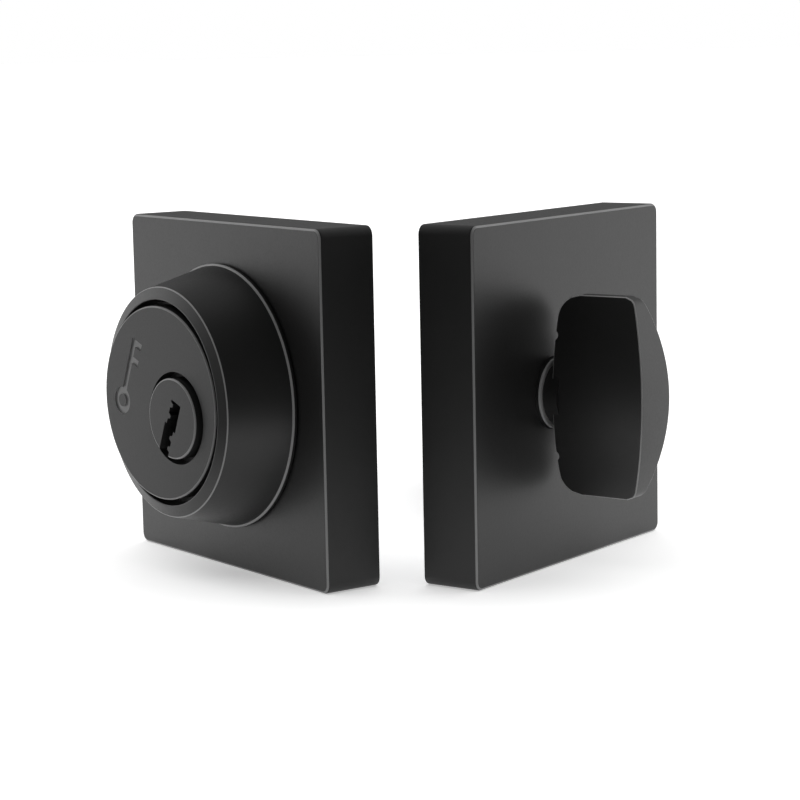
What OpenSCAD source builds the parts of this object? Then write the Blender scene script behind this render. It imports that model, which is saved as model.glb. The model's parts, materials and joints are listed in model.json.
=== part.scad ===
// Deadbolt door lock laid out on a surface: the outside half and the inside half stand on edge,
// splayed apart, and the latch, the strike and the loose fixings lie behind them.
// Origin: centre of the outside rosette's back face. +Y goes into the door, +Z is up.

/* [Layout] */
// angle each half is turned away from the middle line, in degrees
splay = 54; // [48:1:62]
// gap between the two rosettes' nearest back corners
near_gap = 8.2; // [4:0.2:20]

/* [Rosettes] */
// side length of the square rosettes
rose_w = 66; // [54:0.5:80]
// thickness of the rosettes, back to front
rose_t = 11.5; // [9.5:0.1:14]
// radius of the rosettes' four corners
rose_corner = 1.8; // [1.2:0.1:5]
// rounding of the rosettes' front edge
rose_edge = 0.6; // [0.4:0.1:1]
// thickness of the rosettes' side walls
rose_wall = 2.0; // [1.5:0.1:3]
// thickness of the rosettes' front
rose_front = 2.5; // [2:0.1:3]
// thickness of the steel plate inside the outside rosette
plate_t = 1.5; // [1:0.1:2]

/* [Cylinder and collar] */
// width of the collar's front rim
rim_w = 2.4; // [2:0.1:4]
// how much wider the collar gets towards the rosette, each side
collar_flare = 3.5; // [1:0.1:6]
// height of the rim's outer edge above the rosette
collar_h = 13.0; // [11:0.1:16]
// how far the rim rises from its outer edge to its inner edge
collar_crest = 0.8; // [0.2:0.1:1.5]
// running gap between the collar and what it turns on, each side
collar_gap = 0.15; // [0.1:0.01:0.3]
// diameter of the cylinder's round head
head_d = 36.2; // [33:0.1:38]
// thickness of the cylinder's head
head_t = 3.0; // [2:0.1:4]
// gap around the cylinder's head
head_gap = 1.0; // [0.5:0.1:1.5]
// how far the middle of the cylinder's face stands above the collar's crest
head_proud = 0.65; // [0:0.05:1]
// how far the loose cylinder leans sideways in the collar, in degrees
lean = 3.3; // [0:0.1:3.5]
// width of the shoulder between the cylinder's head and its body
head_shoulder = 2.3; // [1.5:0.1:3]
// how far the body reaches into the door behind the rosette
body_back = 9; // [7:0.5:10]
// distance of the plug and of the thumbturn from the rosettes' centres
offset_r = 6; // [4:0.1:7]
// angle the whole cylinder is rolled about its axis, in degrees
key_roll = 68; // [0:1:90]

/* [Plug and pins] */
// diameter of the plug
plug_d = 13.8; // [12:0.1:14]
// how far the plug's front flange stands out from its shaft, each side
flange_w = 0.6; // [0.4:0.1:1.2]
// how far the plug stands proud of the cylinder's face
plug_proud = 1.0; // [0.3:0.1:1.5]
// radial running clearance of the plug and of the thumbturn in their bores
run_gap = 0.05; // [0.02:0.01:0.09]
// length of the keyway's opening
keyway_l = 10.5; // [9:0.1:11]
// height of the keyway's opening
keyway_h = 3.0; // [1.8:0.1:3.2]
// diameter of the key pins and driver pins
pin_d = 2.6; // [2.2:0.1:2.8]
// distance from one pin stack to the next
pin_pitch = 4.0; // [3.6:0.1:4.4]

/* [Thumbturn] */
// height of the grip
grip_h = 37.5; // [32:0.5:46]
// thickness of the grip in the middle
grip_mid = 10.1; // [8:0.1:12]
// thickness of the grip at its two ends
grip_tip = 2.8; // [2:0.1:4]
// distance from the rosette to the grip's back edge
grip_lift = 2.6; // [2:0.1:4]
// distance from the rosette to the grip's front edge, at its ends
grip_out = 17.9; // [14:0.1:22]
// how far the front edge is crowned in the middle
grip_crown = 3.8; // [1:0.1:5]
// wall of the round boss the thumbturn turns in
boss_wall = 2.0; // [1.2:0.1:3]
// diameter of the thumbturn's shaft
shaft_d = 9.5; // [8.5:0.1:10.5]

/* [Latch] */
// width of the faceplate and of the strike's pocket side
face_w = 25.4; // [24:0.1:28]
// height of the faceplate
face_h = 57; // [54:0.5:62]
// distance from the faceplate's two screws to its ends
face_screw_in = 7.85; // [6:0.05:10]
// distance from the faceplate's front to the middle of the lock
backset = 60; // [60:1:70]
// outside diameter of the latch tube
tube_d = 22.2; // [21.5:0.1:24]
// how far the bolt is thrown by a quarter turn
throw = 20; // [16:0.5:20]
// outside width of the latch case
case_w = 11.2; // [10.5:0.1:13]

/* [Strike and fixings] */
// length of the strike plate
strike_l = 70; // [60:1:85]
// width of the strike plate
strike_w = 28; // [25:0.5:32]
// depth of the dust box under the strike plate
dust_h = 25; // [22:0.5:32]
// length of the two mounting screws under their heads
screw_l = 52; // [45:1:60]
// distance between the two mounting screws
screw_pitch = 21; // [20:0.5:23]

/* [Hidden] */
$fn = 96;
eps = 0.01;
free_gap = 0.2;
seat_gap = 0.05;
floor_z = -rose_w / 2;

// fixed small sizes
plate_sink = 0.3;
clip_t = 1.1;
washer_t = 0.5;
wide_turn = 360;

// the two halves in plan
spread = rose_w * cos(splay) + 2 * rose_t * sin(splay) + near_gap;
inner_x = spread * cos(splay) - rose_t * sin(2 * splay);
inner_y = spread * sin(splay) + rose_t * cos(2 * splay) - rose_t;

// depths along Y, front negative
front_y = -rose_t;
cavity_y = front_y + rose_front;
crest_h = collar_h + collar_crest;
face_y = front_y - crest_h - head_proud;
plug_y = face_y - plug_proud;
head_back_y = face_y + head_t;
lean_room = head_d / 2 * sin(lean);
ledge_y = head_back_y + washer_t + lean_room + collar_gap;
flange_sink = 2.4;
plug_end = body_back + free_gap;
cam_t = 3;
cam_end = plug_end + cam_t + 2;

// cylinder
body_d = head_d - 2 * head_shoulder;
collar_rim_d = head_d + 2 * head_gap + 2 * rim_w;
collar_base_d = collar_rim_d + 2 * collar_flare;
flange_d = plug_d + 2 * flange_w;
collar_bore_r = head_d / 2 + head_gap;
ledge_r = body_d / 2 + (cavity_y - face_y) * sin(lean) + free_gap;
plate_hole_d = body_d + 2 * (free_gap - face_y * sin(lean));
clip_d = plate_hole_d + 6;
clip_at = clip_d / 2 * sin(lean);
counterbore_d = flange_d + 2.2;
tap_r = 2.1;
key_depth_end = plug_end - 3;
pin_count = 5;
first_pin_y = face_y + 5.8;
shear_r = plug_d / 2;
cover_t = 1.3;
driver_l = 5;

// thumbturn
boss_d = shaft_d + 2 * run_gap + 2 * boss_wall;
turn_x = -offset_r;
shaft_neck_y = front_y - 1.1;
bush_front_y = front_y - 1;
bush_flange_t = 1.2;
inner_plate_t = 2;
grip_back_y = front_y - grip_lift;
shaft_end_y = 1;
tenon = 5;
tenon_l = 3;
hub_len = 7;

// latch, in its own frame: +Y out of the faceplate, +Z up, +X across
face_t = 1.5;
back_t = 1.2;
plates_t = face_t + back_t;
case_wall = 0.8;
tube_wall = 1;
tube_end = backset - throw / 2 - 10;
case_end = backset + throw / 2 + 10;
hub_z = -6;
hub_r = 4.2;
arm_r = throw / sqrt(2);
arm_end_r = 2.3;
case_h = 2 * (hub_z + arm_r + arm_end_r + 0.16 + case_wall);
face_pitch = face_h - 2 * face_screw_in;
crank_r = 1.4;
crank_play = 0.6;
trunnion_r = 4;
bolt_w = 13;
bolt_r = tube_d / 2 - tube_wall - 0.1;
bolt_h = 2 * sqrt(bolt_r * bolt_r - bolt_w * bolt_w / 4);
bolt_front = 0.2;
bolt_end = tube_end - 3.8;
carrier_t = 2.4;
carrier_low = 0.2;
carrier_bar = 6;
carrier_top = case_h / 2 - case_wall - 0.3;
tongue_l = 5;
crank_y = -backset - throw / 2;
crank_z = hub_z + throw / 2;
latch_lean = atan((face_h - case_h) / 2 / (case_end - plates_t));
latch_drop = plates_t * sin(latch_lean) + face_h / 2 * cos(latch_lean);
latch_x = -30;
latch_y = 36 + case_end;

// strike
strike_t = 1.6;
dust_w = 22;
dust_l = 40;
dust_wall = 1.2;
strike_pitch = strike_l - 15;
strike_x = 24;
strike_y = 72;

// loose fixings
blade_w = 6;
blade_t = 1.5;
blade_l = 62;

// ---------- helpers ----------

// round bar along Y from y0 to y1
module ybar(d, y0, y1) {
  translate([0, y0, 0])
    rotate([-90, 0, 0])
      cylinder(d = d, h = y1 - y0);
}

// cone along Y from y0 to y1
module ycone(d0, d1, y0, y1) {
  translate([0, y0, 0])
    rotate([-90, 0, 0])
      cylinder(d1 = d0, d2 = d1, h = y1 - y0);
}

// a flat outline in X and Z pushed along Y from y0 to y1
module yprism(y0, y1) {
  translate([0, y1, 0])
    rotate([90, 0, 0])
      linear_extrude(y1 - y0)
        children();
}

// ring along Y
module yring(d_in, d_out, y0, y1) {
  difference() {
    ybar(d_out, y0, y1);
    ybar(d_in, y0 - eps, y1 + eps);
  }
}

// box given by its two corners
module span(lo, hi) {
  translate(lo)
    cube(hi - lo);
}

// square outline with rounded corners
module soft_square(w, h, r) {
  square([w - 2 * r, h], center = true);
  square([w, h - 2 * r], center = true);
  for (sx = [-1, 1], sz = [-1, 1])
    translate([sx * (w / 2 - r), sz * (h / 2 - r)])
      circle(r);
}

// frames
module at_inner() {
  translate([inner_x, inner_y, 0])
    rotate([0, 0, 2 * splay])
      children();
}

module at_middle() {
  translate([spread / 2 * cos(splay), spread / 2 * sin(splay) - rose_t, 0])
    rotate([0, 0, splay])
      children();
}

// the cylinder's own frame: it leans about its face's middle and is rolled about its axis,
// and the plug lies straight below the middle
module rolled() {
  translate([0, face_y, 0])
    rotate([0, 0, lean])
      translate([0, -face_y, 0])
        rotate([0, -key_roll, 0])
          children();
}

module at_plug() {
  rolled()
    translate([0, 0, -offset_r])
      children();
}

module at_turn() {
  at_inner()
    translate([turn_x, 0, 0])
      children();
}

module at_latch() {
  at_middle()
    translate([latch_x, latch_y, floor_z + latch_drop])
      rotate([latch_lean, 0, 0])
        children();
}

module at_strike() {
  at_middle()
    translate([strike_x, strike_y, floor_z])
      children();
}

// ---------- rosettes ----------

// square shell, open at the back, its front edge rounded
module rosette_block() {
  hull() {
    for (sx = [-1, 1], sz = [-1, 1])
      translate([sx * (rose_w / 2 - rose_corner), 0, sz * (rose_w / 2 - rose_corner)])
        rotate([90, 0, 0])
          union() {
            cylinder(r = rose_corner, h = rose_t - rose_edge, $fn = 32);
            cylinder(r = rose_corner - rose_edge, h = rose_t, $fn = 32);
            translate([0, 0, rose_t - rose_edge])
              rotate_extrude($fn = 32)
                translate([rose_corner - rose_edge, 0])
                  intersection() {
                    circle(rose_edge, $fn = 32);
                    square(rose_edge);
                  }
          }
  }
}

module rosette_shell() {
  inner_w = rose_w - 2 * rose_wall;
  difference() {
    rosette_block();
    yprism(cavity_y, 1)
      soft_square(inner_w, inner_w, rose_corner - 1);
  }
}

corner_at = rose_w / 2 - rose_wall - 5;

module at_corners() {
  for (sx = [-1, 1], sz = [-1, 1])
    translate([sx * corner_at, 0, sz * corner_at])
      children();
}

module outer_rosette() {
  color("#26262a")
    difference() {
      union() {
        rosette_shell();
        at_corners()
          ybar(6.5, cavity_y - eps, -plate_sink - plate_t);
      }
      ybar(2 * ledge_r, front_y - 1, 1);
      at_corners()
        ybar(2.6, cavity_y + 1, 1);
    }
}

module outer_plate() {
  side = rose_w - 2 * rose_wall - 2 * free_gap;
  color("#8d9196")
    difference() {
      yprism(-plate_sink - plate_t, -plate_sink)
        soft_square(side, side, 2);
      ybar(plate_hole_d, -plate_t - 1, 1);
      at_corners() {
        ybar(3.4, -plate_t - 1, 1);
        ycone(3.4, 6.4, -plate_sink - plate_t, -plate_sink + eps);
      }
    }
}

module plate_screws() {
  color("#a9acb0")
    at_corners()
      difference() {
        union() {
          ybar(2.5, cavity_y + 1.5, -plate_sink - plate_t);
          ycone(2.5, 5.8, -plate_sink - plate_t, -plate_sink - 0.1);
        }
        for (a = [0, 90])
          rotate([0, a, 0])
            span([-1.4, -plate_sink - 0.8, -0.25], [1.4, 0, 0.25]);
      }
}

// ---------- collar ----------

module collar() {
  base_r = collar_base_d / 2;
  rim_r = collar_rim_d / 2;
  lip_h = 0.9;
  step = 0.35;
  foot = collar_gap;
  color("#202024")
    translate([0, front_y, 0])
      rotate([90, 0, 0])
        rotate_extrude()
          polygon([
            [ledge_r, foot],
            [base_r - 0.2, foot],
            [base_r, foot + 0.2],
            [base_r, lip_h],
            [base_r - step, lip_h + 0.15],
            [rim_r + 0.1, collar_h - 0.35],
            [rim_r - 0.2, collar_h],
            [collar_bore_r + 0.3, crest_h],
            [collar_bore_r, crest_h - 0.2],
            [collar_bore_r, front_y - ledge_y],
            [ledge_r, front_y - ledge_y]
          ]);
}

module collar_washer() {
  color("#2e2e30")
    rolled()
      yring(body_d + 2 * free_gap, head_d, head_back_y, head_back_y + washer_t);
}

// ---------- cylinder ----------

// small key sign cut into the cylinder's face
module face_sign() {
  sign_z = 11.2;
  deep = 0.3;
  stroke = 1.4;
  translate([0, face_y, sign_z]) {
    translate([-5.2, 0, 0])
      yring(5.2 - 2 * stroke, 5.2, -1, deep);
    span([-2.8, -1, -stroke / 2], [7.8, deep, stroke / 2]);
    for (x = [3, 6.4])
      span([x, -1, -2.6], [x + stroke, deep, -0.5]);
  }
}

function pin_y(i) = first_pin_y + i * pin_pitch;

module at_pins() {
  for (i = [0 : pin_count - 1])
    translate([0, pin_y(i), 0])
      children();
}

module cylinder_body() {
  cover_w = 4.4;
  color("#2b2b2f")
    rolled()
      difference() {
        union() {
          ycone(head_d - 0.6, head_d, face_y, face_y + 0.3);
          ybar(head_d, face_y + 0.3 - eps, head_back_y);
          ybar(body_d, head_back_y - eps, body_back);
        }
        yring(body_d - 2 * clip_t, body_d + 2, clip_at - seat_gap, clip_at + clip_t + seat_gap);
        translate([0, 0, -offset_r]) {
          ybar(plug_d + 2 * run_gap, face_y - 1, body_back + 1);
          ybar(counterbore_d, face_y - 1, face_y + flange_sink + 0.1);
        }
        at_pins()
          cylinder(d = pin_d + 0.4, h = body_d);
        span([-cover_w / 2, pin_y(0) - 2.5, body_d / 2 - cover_t],
          [cover_w / 2, pin_y(pin_count - 1) + 2.5, body_d]);
        for (s = [-1, 1])
          translate([s * screw_pitch / 2, 0, 0])
            ybar(2 * tap_r, body_back - 22, body_back + 1);
        face_sign();
      }
}

module cylinder_clip() {
  inner_d = body_d - 2 * clip_t + 2 * seat_gap;
  color("#a9acb0")
    rolled()
      difference() {
        yring(inner_d, clip_d, clip_at, clip_at + clip_t);
        span([-8, clip_at - 1, 0], [8, clip_at + clip_t + 1, body_d]);
      }
}

module chamber_cover() {
  color("#b08d4a")
    rolled()
      intersection() {
        span([-2.1, pin_y(0) - 2.4, body_d / 2 - cover_t + 0.02],
          [2.1, pin_y(pin_count - 1) + 2.4, body_d]);
        ybar(body_d - 0.1, face_y, body_back);
      }
}

module driver_pins() {
  bottom = shear_r + run_gap + 0.05 - offset_r;
  color("#c2a25a")
    rolled()
      at_pins()
        translate([0, 0, bottom])
          cylinder(d = pin_d, h = driver_l);
}

module pin_springs() {
  wire = 0.26;
  coil = 0.8;
  bottom = shear_r + run_gap + 0.05 - offset_r + driver_l;
  top = body_d / 2 - cover_t;
  turns = 5;
  color("#c9ccd0")
    rolled()
      at_pins() {
        translate([0, 0, bottom])
          linear_extrude(top - bottom, twist = -wide_turn * turns, slices = 9 * turns, $fn = 6)
            translate([coil, 0])
              circle(wire, $fn = 6);
      }
}

// ---------- plug ----------

// stepped outline of the keyway, its left end open through the plug's edge
module keyway_2d() {
  half = keyway_h / 2;
  mid = -1.8;
  shift = 0.3;
  right = mid + keyway_l / 2;
  left = -flange_d / 2 - 0.3;
  tooth = 0.7;
  polygon([
    [left, half + shift],
    [mid + 0.3, half + shift],
    [mid + 0.3, half - shift],
    [mid + 1.3, half - shift],
    [mid + 1.6, half - shift - tooth],
    [mid + 2.3, half - shift - tooth],
    [mid + 2.6, half - shift],
    [mid + 3.6, half - shift],
    [mid + 3.9, half - shift - tooth],
    [mid + 4.4, half - shift - tooth],
    [mid + 4.7, half - shift],
    [right, half - shift],
    [right, -half - shift],
    [mid - 0.3, -half - shift],
    [mid - 0.3, -half + shift],
    [mid - 1.2, -half + shift],
    [mid - 1.5, -half + shift + tooth],
    [mid - 2.2, -half + shift + tooth],
    [mid - 2.5, -half + shift],
    [mid - 3.4, -half + shift],
    [mid - 3.7, -half + shift + tooth],
    [mid - 4.3, -half + shift + tooth],
    [mid - 4.6, -half + shift],
    [left, -half + shift]
  ]);
}

module plug() {
  color("#2f2f33")
    at_plug()
      difference() {
        union() {
          ycone(flange_d - 0.5, flange_d, plug_y, plug_y + 0.25);
          ybar(flange_d, plug_y + 0.25 - eps, face_y + flange_sink);
          ybar(plug_d, face_y + flange_sink - eps, plug_end);
        }
        yprism(plug_y - 1, key_depth_end)
          keyway_2d();
        at_pins()
          cylinder(d = pin_d + 0.2, h = plug_d);
        for (s = [-1, 1])
          translate([0, 0, s * 4.2])
            ybar(1.7, plug_end - 2.7, plug_end + 1);
      }
}

// key pins stand at the shear line, as with the right key in
module key_pins() {
  top = shear_r - 0.2;
  color("#c2a25a")
    at_plug()
      for (i = [0 : pin_count - 1])
        translate([0, pin_y(i), 0.9 + 0.25 * ((i * 2) % 3)]) {
          cylinder(d1 = 1, d2 = pin_d, h = 0.8);
          translate([0, 0, 0.8 - eps])
            cylinder(d = pin_d, h = top - 1.7 - 0.25 * ((i * 2) % 3) + eps);
        }
}

module tail_cam() {
  slot_l = blade_w + 1.2;
  slot_w = blade_t + 0.7;
  color("#9b9ea3")
    at_plug()
      difference() {
        union() {
          ybar(plug_d + 4, plug_end, plug_end + cam_t);
          ybar(slot_l + 2.4, plug_end + cam_t - eps, cam_end);
        }
        for (a = [0, 90])
          rotate([0, a, 0])
            span([-slot_w / 2, plug_end + 1.2, -slot_l / 2], [slot_w / 2, cam_end + 1, slot_l / 2]);
        for (s = [-1, 1])
          rotate([0, 45, 0])
            translate([0, 0, s * 5.8])
              ybar(2.3, plug_end - 1, cam_end);
      }
}

module cam_screws() {
  color("#a9acb0")
    at_plug()
      rotate([0, 45, 0])
        for (s = [-1, 1])
          translate([0, 0, s * 5.8])
            ybar(2.1, plug_end + 0.1, plug_end + cam_t);
}

// ---------- inside half ----------

module inner_rosette() {
  color("#26262a")
    at_inner()
      difference() {
        rosette_shell();
        translate([turn_x, 0, 0])
          ybar(boss_d + 2 * seat_gap, front_y - 1, 1);
        translate([0, lug_screw_y, floor_z - 1])
          cylinder(d = 3.4, h = rose_wall + 2);
      }
}

lug_gap = 1.2;
lug_t = 2;
lug_front_y = cavity_y + 0.6;
lug_screw_y = (lug_front_y - plate_sink - inner_plate_t) / 2;

module inner_plate() {
  side = rose_w - 2 * rose_wall - 2 * free_gap;
  lug_low = floor_z + rose_wall + lug_gap;
  color("#8d9196")
    at_inner()
      difference() {
        union() {
          yprism(-plate_sink - inner_plate_t, -plate_sink)
            soft_square(side, side, 2);
          span([-8, lug_front_y, lug_low], [8, -plate_sink - inner_plate_t + eps, lug_low + lug_t]);
        }
        translate([turn_x, 0, 0])
          ybar(shaft_d + 3.5, -6, 1);
        for (s = [-1, 1])
          translate([0, 0, s * screw_pitch / 2])
            ybar(5.5, -6, 1);
        translate([0, lug_screw_y, lug_low - 1])
          cylinder(d = 3.4, h = lug_t + 2);
      }
}

module set_screw() {
  color("#3a3a3e")
    at_inner()
      translate([0, lug_screw_y, floor_z + 0.4])
        difference() {
          union() {
            cylinder(d = 3.3, h = rose_wall + lug_gap + 0.8);
            translate([0, 0, rose_wall + lug_gap + 0.8 - eps])
              cylinder(d1 = 3.3, d2 = 1.2, h = 1.1);
          }
          translate([0, 0, -eps])
            cylinder(d = 2, h = 1.6, $fn = 6);
        }
}

module turn_bushing() {
  color("#2b2b2f")
    at_turn()
      difference() {
        union() {
          ycone(boss_d - 0.6, boss_d, bush_front_y, bush_front_y + 0.3);
          ybar(boss_d, bush_front_y + 0.3 - eps, cavity_y);
          ybar(boss_d + 4.4, cavity_y, cavity_y + bush_flange_t);
        }
        ybar(shaft_d + 2 * run_gap, bush_front_y - 1, 1);
      }
}

clip_y = cavity_y + bush_flange_t + 1.5;
turn_groove_r = shaft_d / 2 - 0.8;

// flat outline of the grip seen from the side, distance out from the rosette along the first axis
module grip_side_2d() {
  soft = 4;
  crown_out = grip_out + grip_crown;
  half = grip_h / 2;
  crown_r = (half * half + grip_crown * grip_crown) / (2 * grip_crown);
  notch_z = 0.6 * half;
  notch_r = 0.9;
  intersection() {
    translate([crown_out - crown_r, 0])
      circle(crown_r, $fn = 360);
    difference() {
      union() {
        translate([grip_lift + soft, -half])
          square([crown_out, grip_h]);
        translate([grip_lift, soft - half])
          square([crown_out, grip_h - 2 * soft]);
        for (s = [-1, 1])
          translate([grip_lift + soft, s * (half - soft)])
            circle(soft);
      }
      for (s = [-1, 1])
        translate([grip_lift - notch_r / 3, s * notch_z])
          circle(notch_r);
    }
  }
}

module grip() {
  half = grip_h / 2;
  bulge = (grip_mid - grip_tip) / 2;
  side_r = (half * half + bulge * bulge) / (2 * bulge);
  shift = side_r - grip_mid / 2;
  intersection() {
    translate([0, front_y, 0])
      rotate([0, 0, -90])
        translate([0, grip_mid, 0])
          rotate([90, 0, 0])
            linear_extrude(2 * grip_mid)
              grip_side_2d();
    translate([shift, 0, 0])
      ybar(2 * side_r, front_y - 40, front_y, $fn = 360);
    translate([-shift, 0, 0])
      ybar(2 * side_r, front_y - 40, front_y, $fn = 360);
  }
}

module thumbturn() {
  color("#232327")
    at_turn()
      difference() {
        union() {
          grip();
          ybar(shaft_d + 2.4, grip_back_y - 1, shaft_neck_y);
          ybar(shaft_d, shaft_neck_y - eps, shaft_end_y);
          span([-tenon / 2, shaft_end_y - eps, -tenon / 2], [tenon / 2, shaft_end_y + tenon_l, tenon / 2]);
        }
        yring(2 * turn_groove_r, shaft_d + 2, clip_y - seat_gap, clip_y + 0.9 + seat_gap);
      }
}

// spring washer drawn as a shallow cone, between the bushing and the clip
module wave_washer() {
  low = cavity_y + bush_flange_t;
  color("#c9ccd0")
    at_turn()
      rotate([-90, 0, 0])
        rotate_extrude()
          polygon([
            [shaft_d / 2 + free_gap, clip_y - 0.5],
            [shaft_d / 2 + 3, low],
            [shaft_d / 2 + 3, low + 0.5],
            [shaft_d / 2 + free_gap, clip_y]
          ]);
}

module turn_clip() {
  color("#a9acb0")
    at_turn()
      difference() {
        yring(2 * turn_groove_r + 2 * seat_gap, shaft_d + 5, clip_y, clip_y + 0.9);
        span([-3, clip_y - 1, 0], [3, clip_y + 2, shaft_d]);
      }
}

module turn_hub() {
  socket = tenon + 2 * seat_gap;
  slot_l = blade_w + 0.6;
  slot_w = blade_t + 0.4;
  hub_end = shaft_end_y + hub_len;
  color("#9b9ea3")
    at_turn()
      difference() {
        ybar(shaft_d + 2.5, shaft_end_y, hub_end);
        span([-socket / 2, 0, -socket / 2], [socket / 2, shaft_end_y + tenon_l + 0.2, socket / 2]);
        span([-slot_w / 2, 0, -slot_l / 2], [slot_w / 2, hub_end + 1, slot_l / 2]);
      }
}

// ---------- latch ----------

module bolt_2d(grow) {
  intersection() {
    square([bolt_w + 2 * grow, bolt_h + 2 * grow + 4], center = true);
    circle(bolt_r + grow);
  }
}

// flat countersunk hole for a wood screw, its mouth at y1
module sunk_hole(d, head, y0, y1) {
  deep = (head - d) / 2;
  ybar(d, y0 - 1, y1 + 1);
  ycone(d, head, y1 - deep, y1 + eps);
}

module latch_faceplate() {
  color("#26262a")
    at_latch()
      difference() {
        yprism(-face_t, 0)
          soft_square(face_w, face_h, 3);
        yprism(-face_t - 1, 1)
          bolt_2d(free_gap);
        for (s = [-1, 1])
          translate([0, 0, s * face_pitch / 2])
            sunk_hole(4.4, 7, -face_t, 0);
      }
}

module latch_backing() {
  color("#8d9196")
    at_latch()
      difference() {
        yprism(-plates_t, -face_t)
          soft_square(face_w, face_h, 3);
        yprism(-plates_t - 1, 1)
          bolt_2d(free_gap);
        for (s = [-1, 1])
          translate([0, 0, s * face_pitch / 2])
            ybar(4.8, -plates_t - 1, 1);
      }
}

module latch_tube() {
  bore = tube_d - 2 * tube_wall;
  color("#8d9196")
    at_latch()
      difference() {
        ybar(tube_d, -tube_end, -plates_t);
        ybar(bore, -tube_end + 1.2, 0);
        span([-carrier_t / 2 - 0.6, -tube_end - 1, carrier_low - 0.6],
          [carrier_t / 2 + 0.6, 0, carrier_bar + 0.6]);
      }
}

rivet_low = [-tube_end - 4, -case_h / 2 + 3.2];
rivet_mid = [-case_end + 2.8, -case_h / 2 + 3.2];
rivet_top = [-case_end + 2.8, case_h / 2 - 3.2];

module at_rivets() {
  for (p = [rivet_low, rivet_mid, rivet_top])
    translate([0, p[0], p[1]])
      children();
}

module xbar(d, x0, x1) {
  translate([x0, 0, 0])
    rotate([0, 90, 0])
      cylinder(d = d, h = x1 - x0);
}

// one half of the case: s is the side it lies on
module case_half(s) {
  half_w = case_w / 2;
  half_h = case_h / 2;
  x_low = min(0, s * half_w);
  x_high = max(0, s * half_w);
  in_low = s > 0 ? 0 - 1 : -half_w + case_wall;
  in_high = s > 0 ? half_w - case_wall : 1;
  difference() {
    span([x_low, -case_end, -half_h], [x_high, -tube_end, half_h]);
    span([in_low, -case_end + case_wall, -half_h + case_wall], [in_high, -tube_end + 1, half_h - case_wall]);
    translate([0, -backset, hub_z])
      xbar(2 * trunnion_r + 2 * run_gap, -case_w, case_w);
    at_rivets()
      xbar(2.1, -case_w, case_w);
  }
}

module case_left() {
  color("#8d9196")
    at_latch()
      case_half(-1);
}

module case_right() {
  color("#8d9196")
    at_latch()
      case_half(1);
}

module case_rivets() {
  color("#a9acb0")
    at_latch()
      at_rivets() {
        xbar(2, -case_w / 2 - 0.1, case_w / 2 + 0.1);
        xbar(3.4, -case_w / 2 - 0.6, -case_w / 2);
        xbar(3.4, case_w / 2, case_w / 2 + 0.6);
      }
}

module latch_cam() {
  inside = case_w / 2 - case_wall - 0.15;
  arm_in = carrier_t / 2 + 0.5;
  arm_t = 1.6;
  slot_l = blade_w + 0.3;
  slot_w = blade_t + 0.3;
  color("#9b9ea3")
    at_latch()
      translate([0, -backset, hub_z])
        difference() {
          union() {
            xbar(2 * hub_r, -inside, inside);
            xbar(2 * trunnion_r, -case_w / 2, case_w / 2);
            rotate([45, 0, 0])
              for (s = [-1, 1])
                translate([s * (arm_in + arm_t / 2), 0, 0]) {
                  translate([0, 0, arm_r / 2])
                    cube([arm_t, 2 * arm_end_r, arm_r], center = true);
                  translate([0, 0, arm_r])
                    xbar(2 * arm_end_r, -arm_t / 2, arm_t / 2);
                }
            rotate([45, 0, 0])
              translate([0, 0, arm_r])
                xbar(2 * crank_r, -arm_in - arm_t, arm_in + arm_t);
          }
          span([-case_w, -slot_w / 2, -slot_l / 2], [case_w, slot_w / 2, slot_l / 2]);
        }
}

module bolt() {
  color("#b9bcc0")
    at_latch()
      difference() {
        yprism(-bolt_end, -bolt_front)
          bolt_2d(0);
        span([-carrier_t / 2 - seat_gap, -bolt_end - 1, carrier_low - seat_gap],
          [carrier_t / 2 + seat_gap, -bolt_end + tongue_l + seat_gap, carrier_bar + seat_gap]);
        translate([0, -12, -bolt_h])
          cylinder(d = 4.2, h = bolt_h + bolt_r - 3);
        translate([0, -bolt_end + tongue_l / 2, (carrier_low + carrier_bar) / 2])
          xbar(2.1, -bolt_w, bolt_w);
      }
}

module bolt_roller() {
  color("#6f7378")
    at_latch()
      translate([0, -12, -bolt_h / 2 + 1.6])
        cylinder(d = 4, h = bolt_h / 2 + bolt_r - 4.8);
}

module bolt_carrier() {
  slot_w = 2 * (crank_r + crank_play);
  slot_low = crank_z - crank_r - 0.4;
  slot_top = hub_z + arm_r + crank_r + 0.25;
  wall = 2;
  color("#9b9ea3")
    at_latch()
      difference() {
        union() {
          span([-carrier_t / 2, crank_y - slot_w / 2 - wall, carrier_low],
            [carrier_t / 2, -bolt_end + tongue_l, carrier_bar]);
          span([-carrier_t / 2, crank_y - slot_w / 2 - wall, carrier_low],
            [carrier_t / 2, crank_y + slot_w / 2 + wall, carrier_top]);
        }
        span([-carrier_t, crank_y - slot_w / 2, slot_low], [carrier_t, crank_y + slot_w / 2, slot_top]);
        translate([0, -bolt_end + tongue_l / 2, (carrier_low + carrier_bar) / 2])
          xbar(2.1, -bolt_w, bolt_w);
      }
}

module carrier_pin() {
  color("#6f7378")
    at_latch()
      translate([0, -bolt_end + tongue_l / 2, (carrier_low + carrier_bar) / 2])
        xbar(2, -bolt_w / 2 + 0.3, bolt_w / 2 - 0.3);
}

// countersunk wood screw along -Y from a head whose top lies at y = 0
module wood_screw(d, head, l) {
  deep = (head - d) / 2;
  difference() {
    union() {
      ycone(d, head, -deep, 0);
      ybar(d, -l + 5, -deep + eps);
      ycone(0.6, d, -l, -l + 5 + eps);
    }
    for (a = [0, 90])
      rotate([0, a, 0])
        span([-head / 4, -1, -0.4], [head / 4, 1, 0.4]);
  }
}

module face_screws() {
  color("#a9acb0")
    at_latch()
      for (s = [-1, 1])
        translate([0, -0.1, s * face_pitch / 2])
          wood_screw(4.1, 6.6, 24);
}

// ---------- strike ----------

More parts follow.
